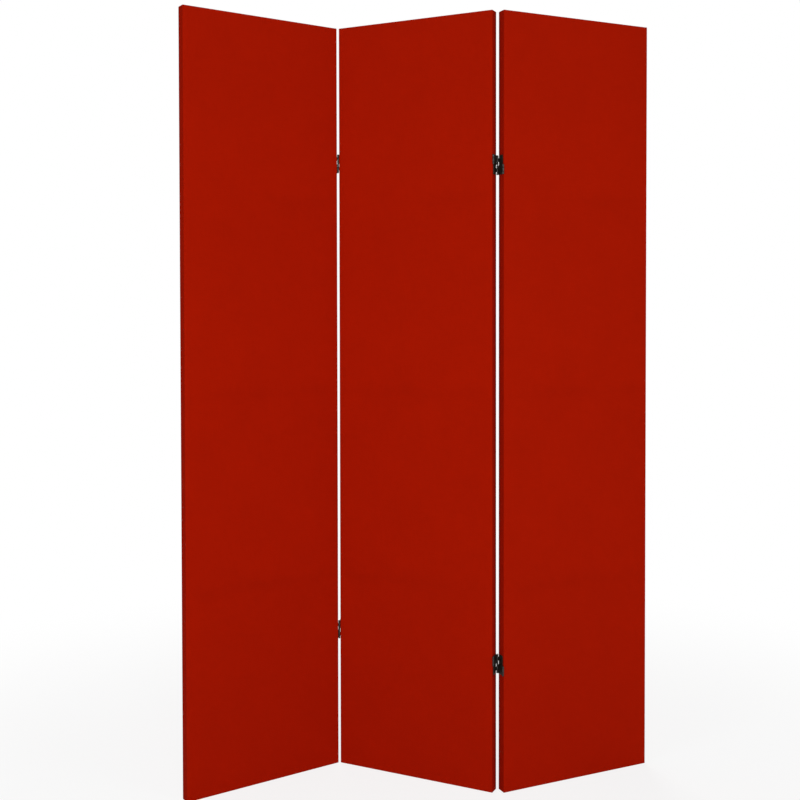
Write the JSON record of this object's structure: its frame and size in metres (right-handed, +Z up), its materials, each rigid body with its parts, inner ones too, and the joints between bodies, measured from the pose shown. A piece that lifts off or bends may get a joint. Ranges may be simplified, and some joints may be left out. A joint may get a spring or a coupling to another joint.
{
  "type": "folding room divider",
  "caption": "Folding screen: tall canvas panels stretched over doweled wood frames, standing in a zigzag on two-way hinges.",
  "frame": {"origin": "on the floor, at the centre of the middle panel's bottom face", "axes": "+X along the screen to the right seen from the front, +Y to the back, +Z up"},
  "size_m": [1.099, 0.2504, 1.8],
  "materials": {
    "red_canvas": "matte cotton canvas, dyed deep red",
    "frame_wood": "planed pine, unfinished",
    "dowel_wood": "turned hardwood, unfinished",
    "black_steel": "satin black enamel on stamped steel",
    "pin_steel": "drawn wire, darkened",
    "staple_wire": "galvanised wire"
  },
  "bodies": {
    "middle_panel": {"middle_panel_left_stile": "frame_wood", "middle_panel_right_stile": "frame_wood", "middle_panel_top_rail": "frame_wood", "middle_panel_upper_mid_rail": "frame_wood", "middle_panel_centre_mid_rail": "frame_wood", "middle_panel_lower_mid_rail": "frame_wood", "middle_panel_bottom_rail": "frame_wood", "middle_panel_dowels": "dowel_wood", "middle_panel_front_canvas": "red_canvas", "middle_panel_back_canvas": "red_canvas", "middle_panel_staples": "staple_wire", "left_upper_hinge_right_plate": "black_steel", "left_upper_hinge_top_link": "black_steel", "left_lower_hinge_right_plate": "black_steel", "left_lower_hinge_top_link": "black_steel", "left_hinge_top_pins": "pin_steel", "left_hinge_right_screws": "black_steel", "right_upper_hinge_left_plate": "black_steel", "right_upper_hinge_top_link": "black_steel", "right_lower_hinge_left_plate": "black_steel", "right_lower_hinge_top_link": "black_steel", "right_hinge_top_pins": "pin_steel", "right_hinge_left_screws": "black_steel"},
    "left_panel": {"left_panel_left_stile": "frame_wood", "left_panel_right_stile": "frame_wood", "left_panel_top_rail": "frame_wood", "left_panel_upper_mid_rail": "frame_wood", "left_panel_centre_mid_rail": "frame_wood", "left_panel_lower_mid_rail": "frame_wood", "left_panel_bottom_rail": "frame_wood", "left_panel_dowels": "dowel_wood", "left_panel_front_canvas": "red_canvas", "left_panel_back_canvas": "red_canvas", "left_panel_staples": "staple_wire", "left_upper_hinge_left_plate": "black_steel", "left_lower_hinge_left_plate": "black_steel", "left_upper_hinge_bottom_link": "black_steel", "left_lower_hinge_bottom_link": "black_steel", "left_hinge_bottom_pins": "pin_steel", "left_hinge_left_screws": "black_steel"},
    "right_panel": {"right_panel_left_stile": "frame_wood", "right_panel_right_stile": "frame_wood", "right_panel_top_rail": "frame_wood", "right_panel_upper_mid_rail": "frame_wood", "right_panel_centre_mid_rail": "frame_wood", "right_panel_lower_mid_rail": "frame_wood", "right_panel_bottom_rail": "frame_wood", "right_panel_dowels": "dowel_wood", "right_panel_front_canvas": "red_canvas", "right_panel_back_canvas": "red_canvas", "right_panel_staples": "staple_wire", "right_upper_hinge_right_plate": "black_steel", "right_lower_hinge_right_plate": "black_steel", "right_upper_hinge_bottom_link": "black_steel", "right_lower_hinge_bottom_link": "black_steel", "right_hinge_bottom_pins": "pin_steel", "right_hinge_right_screws": "black_steel"}
  },
  "joints": [
    {"name": "left_fold", "type": "hinge", "parent": "middle_panel", "child": "left_panel", "pos_m": [-0.18771, 0.07709, 0], "axis": [0, 0, 1], "range_deg": [-60, 120]},
    {"name": "right_fold", "type": "hinge", "parent": "middle_panel", "child": "right_panel", "pos_m": [0.18771, -0.07709, 0], "axis": [0, 0, 1], "range_deg": [-51, 129]}
  ]
}
